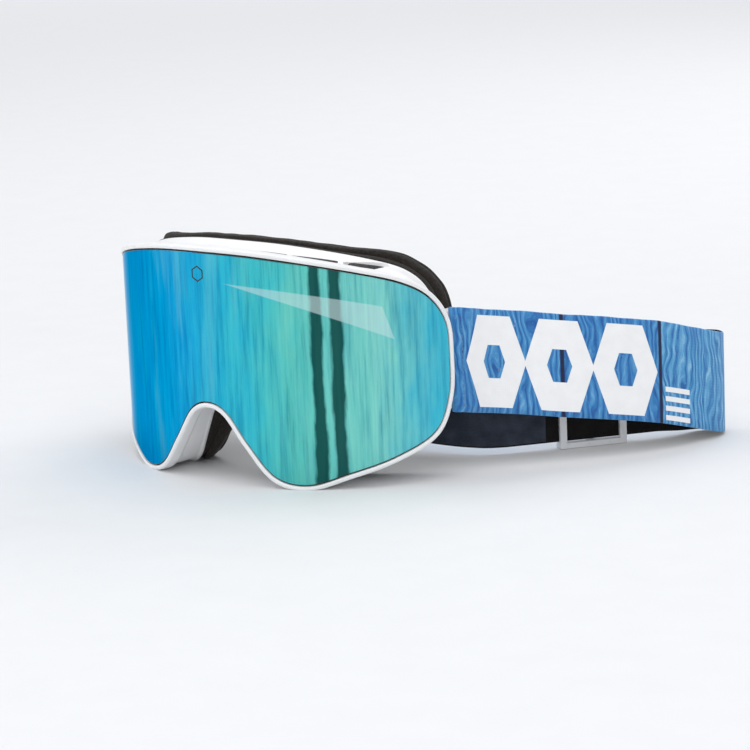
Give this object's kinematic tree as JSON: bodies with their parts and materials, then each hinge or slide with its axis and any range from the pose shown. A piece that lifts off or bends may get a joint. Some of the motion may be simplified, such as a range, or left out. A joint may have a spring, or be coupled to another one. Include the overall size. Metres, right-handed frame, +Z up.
{
  "type": "ski goggles",
  "caption": "Wide cylindrical mirror-lens ski goggles with a magnetic lens unit, layered face foam and a printed elastic strap lying in a loop behind the frame.",
  "frame": {"origin": "middle of the footprint, on the ground that the goggles stand on", "axes": "+Z up; the lens faces -Y; +X is to the right as seen from in front of the lens, and the strap lies towards +X and +Y"},
  "size_m": [0.2346, 0.1802, 0.0999],
  "materials": {
    "lens_mirror": "mirror-coated polycarbonate, blue turning to green",
    "inner_lens_clear": "clear smoke-tinted inner pane",
    "seal_foam": "closed-cell foam seal",
    "carrier_black": "moulded, satin",
    "magnet_steel": "nickel plated",
    "frame_white": "soft-touch moulded, satin",
    "vent_foam": "open-cell filter foam",
    "face_foam": "soft face foam",
    "fleece": "brushed fleece",
    "bracket_white": "moulded, satin",
    "pin_steel": "drawn steel",
    "clip_dark": "moulded, satin",
    "strap_print": "woven elastic with a printed blue board pattern",
    "strap_inner": "woven elastic, dark inner face",
    "slider_white": "moulded, semi-gloss"
  },
  "bodies": {
    "root": {"main_frame": "frame_white", "frame_magnets": "magnet_steel", "vent_foam_top": "vent_foam", "vent_foam_left": "vent_foam", "vent_foam_right": "vent_foam", "base_foam": "face_foam", "middle_foam": "face_foam", "face_fleece": "fleece", "nose_flap": "fleece", "strap_bracket_left": "bracket_white", "strap_bracket_right": "bracket_white", "strap_pin_left": "pin_steel", "strap_pin_right": "pin_steel", "strap_back": "strap_print", "strap_tail": "strap_inner"},
    "lens_unit": {"outer_lens": "lens_mirror", "lens_seal": "seal_foam", "inner_lens": "inner_lens_clear", "lens_carrier": "carrier_black", "carrier_magnets": "magnet_steel"},
    "clip_left": {"strap_clip_left": "clip_dark", "strap_left": "strap_print"},
    "clip_right": {"strap_clip_right": "clip_dark", "strap_right": "strap_print"},
    "slider": {"strap_slider": "slider_white"}
  },
  "joints": [
    {"name": "lens_release", "type": "slide", "parent": "root", "child": "lens_unit", "axis": [0, -1, 0], "range_m": [0, 0.02]},
    {"name": "clip_left_swing", "type": "hinge", "parent": "root", "child": "clip_left", "pos_m": [-0.11133, -0.02963, 0.0493], "axis": [0, 0, 1], "range_deg": [-8, 20], "deforming": ["strap_left"]},
    {"name": "clip_right_swing", "type": "hinge", "parent": "root", "child": "clip_right", "pos_m": [0.05827, -0.02963, 0.0493], "axis": [0, 0, -1], "range_deg": [-8, 20], "deforming": ["strap_right"]},
    {"name": "slider_adjust", "type": "slide", "parent": "root", "child": "slider", "axis": [-0.6, -0.8, 0], "range_m": [-0.01, 0.005]}
  ]
}
